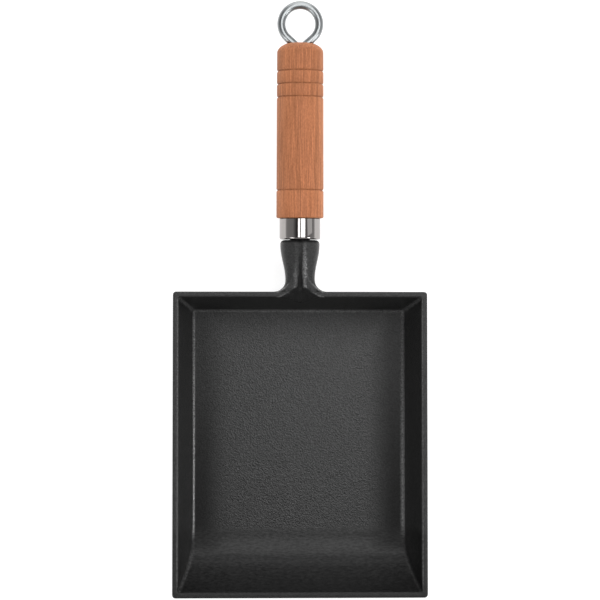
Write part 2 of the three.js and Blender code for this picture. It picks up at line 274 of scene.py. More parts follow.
# Distances to solids, less than 0 inside them
def rounded_max(a, b, radius, cosine):
    """Distance to what two solids share, its edge rounded. The cosine is between their outward normals."""
    p, q = a + radius, b + radius
    across = np.sqrt(np.maximum(p * p + q * q - 2 * cosine * p * q, 0) / (1 - cosine * cosine))
    at_edge = (p > cosine * q) & (q > cosine * p)
    return np.where(at_edge, across - radius, np.maximum(a, b))


def rounded_min(a, b, radius, cosine):
    """Distance to two solids joined with a fillet."""
    return -rounded_max(-a, -b, radius, cosine)


def smooth_step(value, start, end):
    """From 0 at the start to 1 at the end, with no kink at either."""
    share = np.clip((value - start) / (end - start), 0, 1)
    return share * share * (3 - 2 * share)


def from_handle(y, z):
    """Places along the handle's axis and above it."""
    sine, cosine = math.sin(HANDLE_RISE), math.cos(HANDLE_RISE)
    ahead, above = y - HANDLE_ORIGIN.y, z - HANDLE_ORIGIN.z
    return ahead * cosine + above * sine, above * cosine - ahead * sine


def bowl_distance(x, y, z, foot, inset, edge, far_radius):
    """Distance to a solid with the pan's drafted walls, open upward, with its underside at the foot."""
    drop = PAN_HEIGHT - z

    def wall(out, half, draft):
        return (out - half + inset + drop * math.tan(draft)) * math.cos(draft)

    side = wall(np.abs(x), RIM_WIDTH / 2, SIDE_DRAFT)
    near = wall(y, RIM_LENGTH / 2, HANDLE_SIDE_DRAFT)
    sweep_y = FAR_SWEEP_RADIUS * math.cos(FAR_DRAFT) - RIM_INSIDE
    sweep_z = FAR_SWEEP_RADIUS * math.sin(FAR_DRAFT) + PAN_HEIGHT
    sweep = FAR_SWEEP_RADIUS + (WALL_THICKNESS - inset) * math.cos(FAR_DRAFT)
    far = np.sqrt((y - sweep_y) ** 2 + (z - sweep_z) ** 2) - sweep
    under = foot - z
    near_end = rounded_max(near, under, edge, math.sin(HANDLE_SIDE_DRAFT))
    far_end = rounded_max(far, under, far_radius, (sweep_z - foot) / sweep)
    return rounded_max(side, np.maximum(near_end, far_end), edge, WALL_CORNER_COSINE)


def funnel_distance(x, y, z):
    """Distance to the pouring notch: a pointed hollow in the rim that runs out into the neck's valley."""
    apex = Vector((0, RIM_INSIDE + FUNNEL_REACH, PAN_HEIGHT))
    lip = Vector((FUNNEL_HALF_WIDTH, RIM_INSIDE, PAN_HEIGHT))
    foot_y = RIM_INSIDE - FUNNEL_DEPTH * math.tan(HANDLE_SIDE_DRAFT)
    foot = Vector((0, foot_y, PAN_HEIGHT - FUNNEL_DEPTH))
    out = (lip - apex).cross(foot - apex).normalized()
    across = np.sqrt(x * x + FUNNEL_TIP_RADIUS**2) - FUNNEL_TIP_RADIUS
    slope = across * out.x + (y - apex.y) * out.y + (z - apex.z) * out.z
    return np.maximum(slope, np.maximum(foot.z - z, foot.y - FUNNEL_HALF_WIDTH - y))


def valley_depth(x, from_rim):
    """How deep the valley along the neck's top is. It is deepest at the rim."""
    run = np.clip(from_rim / NECK_LENGTH, 0, 1)
    depth = VALLEY_HEAD_DEPTH + (VALLEY_ROOT_DEPTH - VALLEY_HEAD_DEPTH) * (1 - run) ** 2
    aside = np.sqrt(x * x + VALLEY_FOOT_RADIUS**2) - VALLEY_FOOT_RADIUS
    return depth * np.exp(-((aside / VALLEY_HALF_WIDTH) ** VALLEY_POWER))


def neck_distance(x, y, along, up, valley):
    """Distance to the neck: tall at the rim, narrow at its waist, and swelling to a round head."""
    from_rim = along + NECK_LENGTH
    swell = smooth_step(from_rim, NECK_WAIST_END, NECK_SWELL_END)
    radius = NECK_WAIST_RADIUS + (NECK_HEAD_RADIUS - NECK_WAIST_RADIUS) * swell
    lift = NECK_ROOT_LIFT * (1 - smooth_step(from_rim, 0, NECK_LIFT_END))
    neck = np.sqrt(x * x + (up - np.clip(up, 0, lift)) ** 2) - radius
    neck = neck + valley * smooth_step(up, 0, NECK_WAIST_RADIUS / 2)
    neck = rounded_max(neck, along - SEAT_HEIGHT, NECK_SHOULDER_RADIUS, 0)
    return np.maximum(neck, RIM_INSIDE - WALL_THICKNESS - y)


def top_distance(x, y, z, valley):
    """Height over the casting's top, which is flat at the rim and rises along the crowned neck."""
    past_rim = np.maximum(y - RIM_LENGTH / 2, 0)
    crown = np.minimum(np.abs(x), NECK_HEAD_RADIUS) ** 2 / (2 * NECK_CROWN_RADIUS)
    crown = crown * smooth_step(past_rim, NECK_CROWN_START, NECK_CROWN_END)
    top = z - PAN_HEIGHT - past_rim * NECK_TOP_SLOPE + crown
    return top + np.where(y > RIM_INSIDE, valley, 0)


def casting_distance(x, y, z):
    """Distance to the whole iron casting: bowl, neck, pouring notch and tang."""
    along, up = from_handle(y, z)
    valley = valley_depth(x, along + NECK_LENGTH)
    bowl = bowl_distance(x, y, z, 0, 0, BASE_EDGE_RADIUS, FAR_CURVE_RADIUS + FLOOR_THICKNESS)
    body = rounded_min(bowl, neck_distance(x, y, along, up, valley), NECK_ROOT_RADIUS, 0)

    on_neck = smooth_step(y - RIM_LENGTH / 2, 0, NECK_WAIST_RADIUS)
    edge = RIM_EDGE_RADIUS + (NECK_EDGE_RADIUS - RIM_EDGE_RADIUS) * on_neck
    body = rounded_max(body, top_distance(x, y, z, valley), edge, -RIM_COSINE)

    hollow = bowl_distance(x, y, z, FLOOR_THICKNESS, WALL_THICKNESS, FLOOR_FILLET, FAR_CURVE_RADIUS)
    body = rounded_max(body, -hollow, RIM_EDGE_RADIUS, RIM_COSINE)
    body = rounded_max(body, -funnel_distance(x, y, z), FUNNEL_LIP_RADIUS, FUNNEL_LIP_COSINE)

    out = np.sqrt(x * x + up * up)
    tang = np.maximum(np.maximum(out - TANG_RADIUS, along - TANG_LENGTH), -along - SEAT_HEIGHT)
    bore = np.maximum(out - BORE_RADIUS, TANG_LENGTH - THREAD_DEPTH - along)
    return np.maximum(np.minimum(body, tang), -bore)


# The casting
def casting_field():
    """The casting's distances on a grid, right half computed and mirrored, and where the grid starts."""
    low = np.array([0, -RIM_LENGTH / 2, 0]) - np.array([0, FIELD_MARGIN, FIELD_MARGIN])
    tang_end = HANDLE_MATRIX @ Vector((0, TANG_LENGTH, TANG_RADIUS))
    high = np.array([RIM_WIDTH / 2, tang_end.y, PAN_HEIGHT + NECK_HEADROOM]) + FIELD_MARGIN
    counts = np.ceil((high - low) / VOXEL).astype(int) + 1
    x, y, z = (low[i] + VOXEL * np.arange(counts[i], dtype=np.float32) for i in range(3))
    half = casting_distance(x[:, None, None], y[None, :, None], z[None, None, :]).astype(np.float32)
    low[0] = -x[-1]
    return np.concatenate([half[:0:-1], half], axis=0), low


def pan_casting():
    """The casting meshed from its distances, with its polished edges, painted highlights and painted shade
    marked on its points.
    """
    field, low = casting_field()
    grid = openvdb.FloatGrid(background=float(field.max()))
    grid.copyFromArray(field)
    cells, triangles, quads = grid.convertToPolygons(isovalue=0, adaptivity=VOXEL_MERGE)
    normals, bend = field_shape(field, cells)
    points = cells * VOXEL + low

    mesh = bpy.data.meshes.new("iron_pan")
    faces = [tuple(f) for f in triangles] + [tuple(f) for f in quads]
    mesh.from_pydata(points * MM, [], faces)
    if np.dot(mesh.polygons[0].normal, normals[faces[0][0]]) < 0:
        mesh.flip_normals()
    mesh.shade_smooth()
    mesh.normals_split_custom_set_from_vertices(normals)
    mark_points(mesh, POLISH_AND_PAINTED_LIGHT, polish_and_painted_light(*points.T, bend))
    return mesh


def sampled(field, points):
    """The field between its grid points."""
    cell = np.clip(np.floor(points).astype(int), 0, np.array(field.shape) - 2)
    share = points - cell
    total = np.zeros(len(points))
    for corner in np.ndindex(2, 2, 2):
        i, j, k = (cell + np.array(corner)).T
        total += field[i, j, k] * np.prod(np.where(corner, share, 1 - share), axis=1)
    return total


def field_shape(field, points):
    """Outward normals at the mesh's points, and how sharply the surface bends there, per millimetre."""
    steps = np.eye(3)
    ahead = np.stack([sampled(field, points + step) for step in steps], axis=1)
    behind = np.stack([sampled(field, points - step) for step in steps], axis=1)
    slope = ahead - behind
    normals = slope / np.maximum(np.linalg.norm(slope, axis=1, keepdims=True), LEAST_SLOPE)
    bend = (ahead + behind).sum(axis=1) - 2 * len(steps) * sampled(field, points)
    return normals, bend / VOXEL**2


def in_notch(x, y):
    """Whether a place is in the pouring notch or on the neck."""
    return (np.abs(x) < FUNNEL_HALF_WIDTH + WALL_THICKNESS) & (y > RIM_INSIDE - WALL_THICKNESS)


def rubbed_and_highlit_edges(x, y, z, bend):
    """Polish with painted highlights on outward bends: the valley's lips, the notch's edges and the rim's
    inner edge.
    """
    aside = np.abs(x)
    by_valley = (aside < VALLEY_LIP_REACH) & (y > RIM_LENGTH / 2)
    on_rim = (aside < RIM_WIDTH / 2 - WALL_THICKNESS / 2) & (np.abs(y) < RIM_INSIDE - RIM_END_MARGIN)
    on_rim = on_rim & (z > PAN_HEIGHT - WALL_THICKNESS)
    off_point = 1 - (1 - smooth_step(aside, *POINT_WIDTH)) * (1 - smooth_step(y, *POINT_REACH))
    fade = 1 - smooth_step(y, *NOTCH_FADE)
    # Painted highlight: the right lip is painted brighter than the left and fades later along the neck.
    right_lip = RIGHT_LIP_POLISH_AND_HIGHLIGHT * (1 - smooth_step(y, *RIGHT_LIP_FADE))
    lip = np.where(x > 0, right_lip, LEFT_LIP_POLISH_AND_HIGHLIGHT * fade) * off_point
    notch = NOTCH_POLISH_AND_HIGHLIGHT * fade * off_point
    level = np.select([by_valley, in_notch(x, y), on_rim], [lip, notch, RIM_POLISH_AND_HIGHLIGHT], 0)
    return level * np.where(by_valley, smooth_step(bend, *VALLEY_LIP_BEND), smooth_step(bend, *LIP_BEND))


def highlit_and_shaded_hollows(x, y, z, bend):
    """Polish with painted highlights on inward bends: bright fillets round the floor; and painted shade in
    the notch and the valley.
    """
    in_funnel = (np.abs(x) < FUNNEL_HALF_WIDTH) & (y > RIM_INSIDE - 2 * WALL_THICKNESS)
    in_funnel = in_funnel & (z > PAN_HEIGHT - FUNNEL_DEPTH - WALL_THICKNESS)
    # Painted shade in the pouring notch and the valley, fading out along the neck.
    painted_shade = smooth_step(y, *NOTCH_SHADE_FADE) - 1
    # Painted highlight on the fillets round the floor: weaker on the right, fading toward the handle, and
    # faint at the far end and the handle side.
    sides = np.where(x > 0, RIGHT_SIDE_POLISH_AND_HIGHLIGHT, 1) * (1 - FILLET_FADE * smooth_step(y, *FILLET_FADE_RANGE))
    far = smooth_step(-y, *FAR_END_FADE)
    floor = sides * (1 - far) + FAR_END_POLISH_AND_HIGHLIGHT * far
    places = [in_notch(x, y) | in_funnel, y > RIM_INSIDE, y > RIM_INSIDE - FLOOR_EDGE_INSET]
    level = np.select(places, [painted_shade, 0, HANDLE_SIDE_POLISH_AND_HIGHLIGHT], floor)
    return level * smooth_step(-bend, *FILLET_BEND)


def left_wall_painted_light(x, y, z):
    """Painted light on the inside of the left wall, from 0 to 1, less toward the handle and at its foot."""
    wall_middle = RIM_WIDTH / 2 - WALL_THICKNESS / 2 - (PAN_HEIGHT - z) * math.tan(SIDE_DRAFT)
    inward = wall_middle - np.abs(x)
    on_wall = (x < 0) & (inward > 0) & (inward < WALL_THICKNESS) & (z < PAN_HEIGHT - RIM_EDGE_RADIUS)
    return np.where(on_wall, 1 - smooth_step(y, *LEFT_WALL_FADE), 0) * smooth_step(z, *LEFT_WALL_FOOT)


def polish_and_painted_light(x, y, z, bend):
    """Polished edges with painted highlights up to 1; painted shade down to -1 in the notch, the valley and
    at the top of the far wall, and a painted shadow on the neck's end face.
    """
    on_bends = rubbed_and_highlit_edges(x, y, z, bend) + highlit_and_shaded_hollows(x, y, z, bend)
    # Painted shade at the top of the far wall.
    far_rim = smooth_step(z, *FAR_RIM_HEIGHT) * smooth_step(-y, *FAR_RIM_REACH)
    # Painted shadow on the neck's end face under the ferrule.
    head = smooth_step(from_handle(y, z)[0], *HEAD_SHADOW)
    # Painted light lifts the inside of the left wall.
    return on_bends + LEFT_WALL_PAINTED_LIGHT * left_wall_painted_light(x, y, z) - FAR_RIM_SHADE * far_rim - head


# Pieces of the handle
def ferrule():
    """A drawn cup with a rounded front and a thin rolled back edge."""
    edge, lip = FERRULE_EDGE_RADIUS, FERRULE_LIP_RADIUS
    inner = FERRULE_RADIUS - FERRULE_WALL
    profile = [(SOCKET_RADIUS, FERRULE_FRONT)]
    profile += arc((FERRULE_RADIUS - edge, FERRULE_FRONT + edge), edge, -90, 0)
    profile += arc((FERRULE_RADIUS - lip, FERRULE_BACK - lip), lip, 0, 90, FERRULE_LIP_STEPS)
    profile += [(inner, FERRULE_BACK), (inner, FERRULE_FRONT + FERRULE_WALL)]
    profile += [(SOCKET_RADIUS, FERRULE_FRONT + FERRULE_WALL)]
    return lathe("ferrule_cup", profile)


def grip_radius(along):
    """The grip's radius away from its grooves and its end."""
    share = (along - GRIP_SHOULDER) / (GRIP_END - GRIP_SHOULDER)
    return GRIP_FRONT_RADIUS + (GRIP_END_RADIUS - GRIP_FRONT_RADIUS) * share


def groove_places():
    """One groove at the front of the grip and a group at its end, in order along it."""
    last = GRIP_END - END_GROOVE_SETBACK
    group = [last - i * END_GROOVE_PITCH for i in range(END_GROOVE_COUNT)]
    return [GRIP_SHOULDER + FRONT_GROOVE_SETBACK, *reversed(group)]


def groove(place):
    """Profile points of one turned groove with softened edges."""
    points = []
    for step in range(GROOVE_STEPS + 1):
        across = 2 * step / GROOVE_STEPS - 1
        along = place + across * GROOVE_WIDTH / 2
        cut = GROOVE_DEPTH * (1 - abs(across)) ** GROOVE_POWER * (1 + GROOVE_FLARE * abs(across))
        points.append((grip_radius(along) - cut, along))
    return points


def groove_darkening(mesh):
    """Marks how deep in a groove each point of the grip lies, from 0 to 1."""
    points = np.array([point.co for point in mesh.vertices]) / MM
    along, up = from_handle(points[:, 1], points[:, 2])
    depth = (grip_radius(along) - np.hypot(points[:, 0], up)) / GROOVE_DEPTH
    from_groove = np.abs(along[:, None] - np.array(groove_places())).min(axis=1)
    mark_points(mesh, GROOVE_DARKENING, np.where(from_groove < GROOVE_WIDTH / 2, np.clip(depth, 0, 1), 0))


def wooden_grip():
    """The turned grip, bored through, with a spigot for the ferrule and a recess for the eye."""
    soft = GRIP_FRONT_ROUNDING
    front = grip_radius(GRIP_SHOULDER + soft)
    profile = [(SOCKET_RADIUS, SPIGOT_FRONT), (SPIGOT_RADIUS, SPIGOT_FRONT), (SPIGOT_RADIUS, GRIP_SHOULDER)]
    profile += arc((front - soft, GRIP_SHOULDER + soft), soft, -90, 0)
    for place in groove_places():
        profile += groove(place)
    for turn in np.linspace(0, math.acos(RECESS_MOUTH_RADIUS / GRIP_END_RADIUS), GRIP_END_STEPS + 1):
        below_end = GRIP_END_CROWN * (1 - math.sin(turn))
        profile.append((GRIP_END_RADIUS * math.cos(turn), GRIP_END - below_end))
    profile += [(RECESS_RADIUS, RECESS_TOP), (RECESS_RADIUS, WASHER_SEAT), (BORE_RADIUS, WASHER_SEAT)]
    profile += [(BORE_RADIUS, SOCKET_BOTTOM), (SOCKET_RADIUS, SOCKET_BOTTOM)]
    mesh = lathe("turned_grip", profile)
    groove_darkening(mesh)
    return mesh


def seat_washer():
    """A stamped washer with its edges just broken."""
    e = WASHER_EDGE
    profile = [
        (BORE_RADIUS + e, WASHER_BOTTOM),
        (WASHER_RADIUS - e, WASHER_BOTTOM),
        (WASHER_RADIUS, WASHER_BOTTOM + e),
        (WASHER_RADIUS, WASHER_TOP - e),
        (WASHER_RADIUS - e, WASHER_TOP),
        (BORE_RADIUS + e, WASHER_TOP),
        (BORE_RADIUS, WASHER_TOP - e),
        (BORE_RADIUS, WASHER_BOTTOM + e),
    ]
    return lathe("seat_washer_ring", profile)


def bent_rod(name, centres):
    """A capped rod of the bolt's thickness along points that lie in the handle's flat plane."""
    points, faces = [], []
    last = len(centres) - 1
    for i, centre in enumerate(centres):
        ahead = (centres[min(i + 1, last)] - centres[max(i - 1, 0)]).normalized()
        aside = Vector((ahead.y, -ahead.x, 0))
        for k in range(ROD_SIDES):
            turn = 2 * math.pi * k / ROD_SIDES
            offset = aside * math.cos(turn) + Vector((0, 0, 1)) * math.sin(turn)
            points.append(HANDLE_MATRIX @ (centre + offset * ROD_RADIUS))
    for ring in range(0, last * ROD_SIDES, ROD_SIDES):
        for k in range(ROD_SIDES):
            n = (k + 1) % ROD_SIDES
            faces.append((ring + k, ring + n, ring + ROD_SIDES + n, ring + ROD_SIDES + k))
    faces.append(tuple(range(ROD_SIDES)))
    faces.append(tuple(last * ROD_SIDES + k for k in range(ROD_SIDES)))
    return mesh_from(name, points, faces)


def eye_line():
    """Centre line of the eye: up one leg, round and down the other."""
    start = ROD_RADIUS / math.tan(EYE_LEG_LEAN)
    leg_end = EYE_RADIUS / math.tan(EYE_LEG_LEAN)
    lean = Vector((math.sin(EYE_LEG_LEAN), math.cos(EYE_LEG_LEAN), 0))
    knuckle = Vector((0, KNUCKLE_PLACE, 0))
    first = [knuckle + lean * run for run in np.linspace(start, leg_end, EYE_LEG_STEPS + 1)[:-1]]
    turns = np.linspace(-EYE_LEG_LEAN, math.pi + EYE_LEG_LEAN, EYE_STEPS)
    centre = Vector((0, EYE_CENTRE, 0))
    ring = [centre + EYE_RADIUS * Vector((math.cos(t), math.sin(t), 0)) for t in turns]
    last = [Vector((-p.x, p.y, 0)) for p in reversed(first)]
    return first + ring + last


def knuckle_and_shank():
    """The ball where the legs meet, with the long shank below it, turned as one closed form."""
    shank_edge = math.degrees(math.asin(ROD_RADIUS / KNUCKLE_RADIUS)) - 90
    profile = [(0, ROD_TIP), (ROD_RADIUS - ROD_TIP_CHAMFER, ROD_TIP)]
    profile += [(ROD_RADIUS, ROD_TIP + ROD_TIP_CHAMFER)]
    profile += arc((0, KNUCKLE_PLACE), KNUCKLE_RADIUS, shank_edge, 90, KNUCKLE_STEPS)[:-1]
    profile += [(0, KNUCKLE_PLACE + KNUCKLE_RADIUS)]
    return lathe("knuckle_and_shank", profile)


def eye_bolt():
    """The hanging eye welded to its knuckle and shank."""
    eye = add_object("bent_eye", bent_rod("bent_eye", eye_line()))
    core = add_object("knuckle_and_shank", knuckle_and_shank())
    weld = eye.modifiers.new("weld", "BOOLEAN")
    weld.operation = "UNION"
    weld.solver = "EXACT"
    weld.object = core
    bpy.context.view_layer.update()
    welded = bpy.data.meshes.new_from_object(eye.evaluated_get(bpy.context.evaluated_depsgraph_get()))
    for leftover in (eye.data, core.data):
        bpy.data.meshes.remove(leftover)
    welded.name = "eye_and_shank"
    finish_mesh(welded)
    return welded


# Numbers of a mix node's sockets when it mixes colours
COLOUR_MIX_SHARE = 0
COLOUR_MIX_FIRST = 6
COLOUR_MIX_SECOND = 7
COLOUR_MIX_RESULT = 2


# Materials, with places in metres
class Surface:
    """A node material built round one Principled shader."""

    def __init__(self, name):
        self.material = bpy.data.materials.new(name)
        self.material.use_nodes = True
        self.tree = self.material.node_tree
        self.shader = self.tree.nodes["Principled BSDF"]
        self.coords = self.tree.nodes.new("ShaderNodeTexCoord")

    def node(self, kind, inputs=(), **settings):
        """A new node with its settings, and with sources or constants on its inputs."""
        made = self.tree.nodes.new(kind)
        for key, value in settings.items():
            setattr(made, key, value)
        for key, value in dict(inputs).items():
            if isinstance(value, bpy.types.NodeSocket):
                self.tree.links.new(value, made.inputs[key])
            else:
                made.inputs[key].default_value = value
        return made

    def place(self, scale=(1, 1, 1), rotation=(0, 0, 0)):
        """Object coordinates in metres, turned and then stretched."""
        source = self.coords.outputs["Object"]
        turned = self.node("ShaderNodeMapping", {"Vector": source, "Rotation": rotation}, vector_type="POINT")
        source = turned.outputs["Vector"]
        stretched = self.node("ShaderNodeMapping", {"Vector": source, "Scale": scale}, vector_type="POINT")
        return stretched.outputs["Vector"]

    def axes(self, vector):
        """A vector's X, Y and Z."""
        return self.node("ShaderNodeSeparateXYZ", {"Vector": vector}).outputs

    def marks(self, name):
        """The numbers that a mesh keeps for its points."""
        return self.node("ShaderNodeAttribute", attribute_name=name).outputs["Fac"]

    def noise(self, vector, scale, detail=2.0, roughness=0.5):
        """Smooth noise, mostly between 0.3 and 0.7."""
        inputs = {"Vector": vector, "Scale": scale, "Detail": detail, "Roughness": roughness}
        return self.node("ShaderNodeTexNoise", inputs).outputs["Fac"]

    def ramp(self, value, span, colours):
        """From the first colour to the second over the span of values."""
        made = self.node("ShaderNodeValToRGB", {"Fac": value})
        for element, place, colour in zip(made.color_ramp.elements, span, colours):
            element.position = place
            element.color = (*colour, 1)
        return made.outputs["Color"]

    def spread(self, value, levels):
        """A straight change between the levels as the value goes from 0 to 1."""
        inputs = {"Value": value, "To Min": levels[0], "To Max": levels[1]}
        return self.node("ShaderNodeMapRange", inputs).outputs["Result"]

    def blend(self, value, span, levels):
        """A smooth change between the levels over the span of values."""
        inputs = {"Value": value, "From Min": span[0], "From Max": span[1]}
        inputs |= {"To Min": levels[0], "To Max": levels[1]}
        return self.node("ShaderNodeMapRange", inputs, interpolation_type="SMOOTHSTEP").outputs["Result"]

    def calculate(self, operation, *values):
        """A number worked out from one or two others."""
        return self.node("ShaderNodeMath", enumerate(values), operation=operation).outputs[0]

    def times(self, first, second):
        return self.calculate("MULTIPLY", first, second)

    def plus(self, first, second):
        return self.calculate("ADD", first, second)

    def mix(self, share, first, second, kind="MIX"):
        """From the first colour toward the second, or toward both blended, as the share goes from 0 to 1."""
        inputs = {COLOUR_MIX_SHARE: share, COLOUR_MIX_FIRST: first, COLOUR_MIX_SECOND: second}
        made = self.node("ShaderNodeMix", data_type="RGBA", blend_type=kind, inputs=inputs)
        return made.outputs[COLOUR_MIX_RESULT]

    def multiply(self, first, second):
        """Two colours multiplied."""
        return self.mix(1, first, second, "MULTIPLY")

    def bump(self, height, distance, strength):
        """A normal raised by the height. The strength is a number or another node's output."""
        inputs = {"Height": height, "Distance": distance, "Strength": strength}
        return self.node("ShaderNodeBump", inputs).outputs["Normal"]

    def set(self, **values):
        """Constants on the shader's own sockets."""
        for key, value in values.items():
            self.shader.inputs[key.replace("_", " ")].default_value = value

    def feed(self, **sources):
        """Other nodes' outputs linked to the shader's sockets."""
        for key, source in sources.items():
            self.tree.links.new(source, self.shader.inputs[key.replace("_", " ")])


def grey(level):
    return (level, level, level)


# Spans and levels for ramps and blends
MOST_NOISE = (0.3, 0.7)
WHOLE = (0, 1)
FALLING = (1, 0)
PAINTED_SHADE_SPAN = (-1, 0)

# Iron
PEBBLES = {"scale": 1100, "detail": 2, "roughness": 0.6}
STREAKS = {"scale": 950, "detail": 2, "roughness": 0.5}
STREAK_STRETCH = (0.4, 1, 1)
PATCHES = {"scale": 60, "detail": 3, "roughness": 0.55}
PEBBLE_HEIGHT = 0.0007
FAR_SLOPE = (-0.056, -0.050)
FAR_SLOPE_FOOT = (0.008, 0.016)
FAR_SLOPE_RISE = (0.010, 0.034)
FLOOR_MARGIN = (0.040, 0.061)
FLOOR_LEVEL = (0.0042, 0.0075)
MARGIN_FADE = (-0.045, 0.075)
HANDLE_END = (0.056, 0.090)
RIM_LEVEL = (0.0335, 0.0347)
MARGIN_SHADE_LEVELS = (1, 0.5)
HANDLE_END_SHADE_LEVELS = (0, 0.5)
FAR_SLOPE_SHADE_SHARE = (1, 0.45)
SKIN_ROUGHNESS = (0.27, 0.33)
DULLING_ROUGHNESS = (0, 0.5)
FAR_FOOT_ROUGHNESS = (0.24, 0)
RIM_ROUGHNESS = (0, 0.22)
SKIN_TONES = (grey(0.003), grey(0.029))
PAINTED_SHADE_TONES = (grey(1), grey(0.28))
FAR_WALL_SHADE = (0.25, 1)
FAR_WALL_TONES = (grey(1), grey(0.4))
POLISH_AND_HIGHLIGHT_TONES = (grey(0.06), grey(0.33))
RUBBED_METAL = (0, 0.9)
RUBBED_RELIEF = (1, 0.4)
FAR_SLOPE_RELIEF = (0.4, 0.12)


def cast_iron():
    """Dark seasoned iron, pebbled, with a streaked far slope, painted shade on the floor sides, at the handle
    end and up the far wall, and bright edges of polished metal with painted highlights.
    """
    skin = Surface("cast_iron_skin")
    space = skin.place()
    x, y, z = skin.axes(space)
    polish_and_light_marks = skin.marks(POLISH_AND_PAINTED_LIGHT)
    edges = skin.blend(polish_and_light_marks, WHOLE, WHOLE)
    # The marks below 0 are painted shade, with a painted shadow on the neck's end face.
    painted_shade = skin.blend(polish_and_light_marks, PAINTED_SHADE_SPAN, FALLING)
    far_end = skin.blend(y, FAR_SLOPE, FALLING)
    streaks = skin.noise(skin.place(STREAK_STRETCH), **STREAKS)
    pebbles = skin.mix(far_end, skin.noise(space, **PEBBLES), streaks)

    # Painted shade: the floor's colour darkens along its sides and at its handle end, kept off bright edges;
    # these places are also made rougher.
    margin = skin.blend(skin.calculate("ABSOLUTE", x), FLOOR_MARGIN, WHOLE)
    margin = skin.times(margin, skin.blend(y, MARGIN_FADE, MARGIN_SHADE_LEVELS))
    painted_shade_and_dulling = skin.calculate("MAXIMUM", margin, skin.blend(y, HANDLE_END, HANDLE_END_SHADE_LEVELS))
    painted_shade_and_dulling = skin.times(painted_shade_and_dulling, skin.blend(z, FLOOR_LEVEL, FALLING))
    unrubbed = skin.times(skin.spread(edges, FALLING), skin.spread(far_end, FAR_SLOPE_SHADE_SHARE))
    painted_shade_and_dulling = skin.plus(skin.times(painted_shade_and_dulling, unrubbed), painted_shade)

    patches = skin.noise(space, **PATCHES)
    rough = skin.plus(skin.spread(patches, SKIN_ROUGHNESS), skin.spread(painted_shade_and_dulling, DULLING_ROUGHNESS))
    rough = skin.plus(rough, skin.times(far_end, skin.blend(z, FAR_SLOPE_FOOT, FAR_FOOT_ROUGHNESS)))
    rough = skin.plus(rough, skin.blend(z, RIM_LEVEL, RIM_ROUGHNESS))

    tone = skin.multiply(skin.ramp(pebbles, MOST_NOISE, SKIN_TONES), skin.ramp(painted_shade_and_dulling, WHOLE, PAINTED_SHADE_TONES))
    # Painted shade: the far wall's colour darkens toward its top.
    up_far_wall = skin.times(far_end, skin.blend(z, FAR_SLOPE_RISE, FAR_WALL_SHADE))
    tone = skin.multiply(tone, skin.ramp(up_far_wall, WHOLE, FAR_WALL_TONES))
    relief = skin.times(skin.spread(edges, RUBBED_RELIEF), skin.spread(far_end, FAR_SLOPE_RELIEF))
    # Bright edges: polished metal, with painted highlights lightening their colour.
    skin.feed(
        Base_Color=skin.mix(edges, tone, skin.ramp(pebbles, MOST_NOISE, POLISH_AND_HIGHLIGHT_TONES)),
        Metallic=skin.spread(edges, RUBBED_METAL),
        Roughness=rough,
        Normal=skin.bump(pebbles, PEBBLE_HEIGHT, relief),
    )
    skin.set(Specular_IOR_Level=0.45)
    return skin.material


# Beech
GRAIN = {"scale": 1500, "detail": 3, "roughness": 0.6}
GRAIN_STRETCH = (1, 0.03, 1)
GRAIN_COLOURS = ((0.405, 0.155, 0.069), (0.695, 0.288, 0.137))
GRAIN_HEIGHT = 0.00005
GRAIN_RELIEF = 0.4
BANDS = {"scale": 400, "detail": 2, "roughness": 0.5}
BAND_STRETCH = (1, 0.02, 1)
BAND_TONES = (grey(0.88), grey(1.06))
FLECKS = {"scale": 1600, "detail": 2, "roughness": 0.6}
FLECK_STRETCH = (1, 0.4, 1)
FLECK_SPAN = (0.35, 0.7)
FLECK_COLOURS = (grey(1.06), (0.82, 0.8, 0.78))
GRIP_MIDDLE_TO_END = (0.15, 0.225)
END_TONES = (grey(1), grey(0.93))
GROOVE_TONES = (grey(1), grey(0.72))
BEECH_ROUGHNESS = (0.5, 0.62)


def beech():
    """Reddish brown beech with lengthwise grain and short flecks, a little darker toward its end."""
    wood = Surface("lacquered_beech")
    turned = (-HANDLE_RISE, 0, 0)
    grain = wood.noise(wood.place(GRAIN_STRETCH, turned), **GRAIN)
    bands = wood.noise(wood.place(BAND_STRETCH, turned), **BANDS)
    flecks = wood.noise(wood.place(FLECK_STRETCH, turned), **FLECKS)
    y = wood.axes(wood.place())["Y"]
    toward_end = wood.blend(y, GRIP_MIDDLE_TO_END, WHOLE)
    colour = wood.ramp(grain, MOST_NOISE, GRAIN_COLOURS)
    colour = wood.multiply(colour, wood.ramp(bands, MOST_NOISE, BAND_TONES))
    colour = wood.multiply(colour, wood.ramp(flecks, FLECK_SPAN, FLECK_COLOURS))
    colour = wood.multiply(colour, wood.ramp(toward_end, WHOLE, END_TONES))
    wood.feed(
        Base_Color=wood.multiply(colour, wood.ramp(wood.marks(GROOVE_DARKENING), WHOLE, GROOVE_TONES)),
        Roughness=wood.spread(grain, BEECH_ROUGHNESS),
        Normal=wood.bump(grain, GRAIN_HEIGHT, GRAIN_RELIEF),
    )
    wood.set(Specular_IOR_Level=0.15, Diffuse_Roughness=1.0)
    return wood.material


# Metals
CHROME_MARKS = {"scale": 240, "detail": 3, "roughness": 0.6}
CHROME_COLOUR = (0.375, 0.355, 0.345)
CHROME_ROUGHNESS = (0.03, 0.07)
SATIN_MARKS = {"scale": 400, "detail": 3, "roughness": 0.6}
SATIN_COLOUR = (0.315, 0.33, 0.335)
SATIN_ROUGHNESS = (0.25, 0.32)
SCUFFS = {"scale": 700, "detail": 3, "roughness": 0.6}
SCUFF_STRETCH = (1, 6, 1)
SCUFF_HEIGHT = 0.00002
SCUFF_RELIEF = 0.3
ZINC_COLOURS = ((0.48, 0.48, 0.49), (0.6, 0.6, 0.61))
ZINC_ROUGHNESS = (0.3, 0.45)


